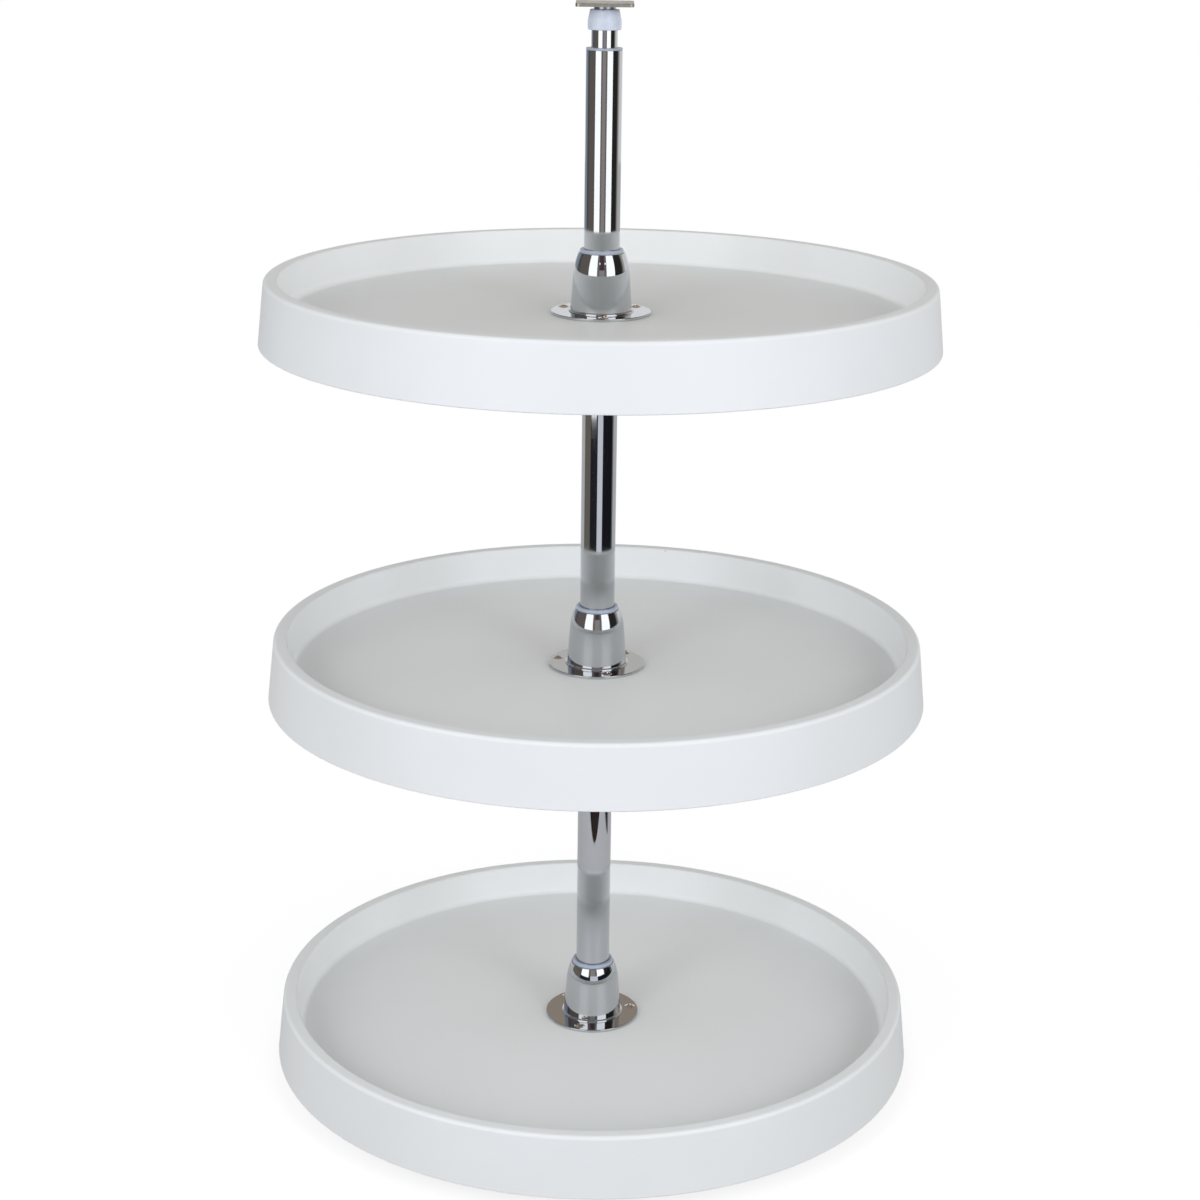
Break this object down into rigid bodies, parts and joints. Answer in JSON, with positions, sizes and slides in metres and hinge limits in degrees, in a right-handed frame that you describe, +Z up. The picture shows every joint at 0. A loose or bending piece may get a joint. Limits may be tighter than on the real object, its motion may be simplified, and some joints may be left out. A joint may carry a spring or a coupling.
{
  "type": "rotating pantry shelf set",
  "caption": "Round rimmed storage trays stacked on a telescoping chrome pole, each turning on its own bell-shaped hub, with square mounting plates for a cabinet's floor and top.",
  "frame": {"origin": "centre of the lower mounting plate's underside, on the cabinet floor", "axes": "+Z up along the pole; -Y towards the front of the cabinet, +X to the right seen from the front"},
  "size_m": [0.5078, 0.5078, 0.8352],
  "materials": {
    "moulded_polymer": "fine moulded texture",
    "chrome_plate": "bright chrome plating",
    "nylon": "smooth, slightly translucent",
    "zinc_steel": "zinc plated sheet and turned steel"
  },
  "bodies": {
    "base": {"bottom_plate": "zinc_steel", "bottom_pin": "zinc_steel", "bottom_washer": "nylon"},
    "pole": {"pole_tube": "chrome_plate", "bottom_bushing": "nylon", "guide_ring": "nylon"},
    "lock_slider": {"lock_guide": "nylon"},
    "extension": {"inner_tube": "chrome_plate", "lock_plug": "nylon", "lock_washer": "zinc_steel", "lock_screw": "zinc_steel", "top_cap": "nylon"},
    "cam": {"lock_cam": "nylon"},
    "ceiling_mount": {"top_pin": "zinc_steel", "top_plate": "zinc_steel"},
    "lower_support": {"lower_support_collar": "zinc_steel", "lower_set_screw": "zinc_steel", "lower_thrust_washer": "nylon"},
    "lower_shelf": {"lower_tray": "moulded_polymer", "lower_hub": "chrome_plate", "lower_hub_bushing": "nylon", "lower_hub_screws": "chrome_plate"},
    "middle_support": {"middle_support_collar": "zinc_steel", "middle_set_screw": "zinc_steel", "middle_thrust_washer": "nylon"},
    "middle_shelf": {"middle_tray": "moulded_polymer", "middle_hub": "chrome_plate", "middle_hub_bushing": "nylon", "middle_hub_screws": "chrome_plate"},
    "upper_support": {"upper_support_collar": "zinc_steel", "upper_set_screw": "zinc_steel", "upper_thrust_washer": "nylon"},
    "upper_shelf": {"upper_tray": "moulded_polymer", "upper_hub": "chrome_plate", "upper_hub_bushing": "nylon", "upper_hub_screws": "chrome_plate"}
  },
  "joints": [
    {"name": "pole_spin", "type": "hinge", "parent": "base", "child": "pole", "pos_m": [0, 0, 0], "axis": [0, 0, 1], "continuous": true},
    {"name": "lower_height", "type": "slide", "parent": "pole", "child": "lower_support", "axis": [0, 0, 1], "range_m": [-0.008, 0.11]},
    {"name": "lower_spin", "type": "hinge", "parent": "lower_support", "child": "lower_shelf", "pos_m": [0, 0, 0], "axis": [0, 0, 1], "continuous": true},
    {"name": "middle_height", "type": "slide", "parent": "pole", "child": "middle_support", "axis": [0, 0, 1], "range_m": [-0.11, 0.1]},
    {"name": "middle_spin", "type": "hinge", "parent": "middle_support", "child": "middle_shelf", "pos_m": [0, 0, 0], "axis": [0, 0, 1], "continuous": true},
    {"name": "upper_height", "type": "slide", "parent": "pole", "child": "upper_support", "axis": [0, 0, 1], "range_m": [-0.1, 0.14]},
    {"name": "upper_spin", "type": "hinge", "parent": "upper_support", "child": "upper_shelf", "pos_m": [0, 0, 0], "axis": [0, 0, 1], "continuous": true},
    {"name": "pole_extension", "type": "slide", "parent": "pole", "child": "lock_slider", "axis": [0, 0, 1], "range_m": [-0.012, 0.125]},
    {"name": "twist_lock", "type": "hinge", "parent": "lock_slider", "child": "extension", "pos_m": [0, 0, 0.6], "axis": [0, 0, 1], "range_deg": [-42, 42]},
    {"name": "cam_turn", "type": "hinge", "parent": "extension", "child": "cam", "pos_m": [0.001, 0, 0.586], "axis": [0, 0, 1], "range_deg": [-42, 42]},
    {"name": "ceiling_plate_spin", "type": "hinge", "parent": "extension", "child": "ceiling_mount", "pos_m": [0, 0, 0.83515], "axis": [0, 0, 1], "continuous": true}
  ],
  "couplings": [
    {"joint": "cam_turn", "follows": "twist_lock", "ratio": -1}
  ]
}
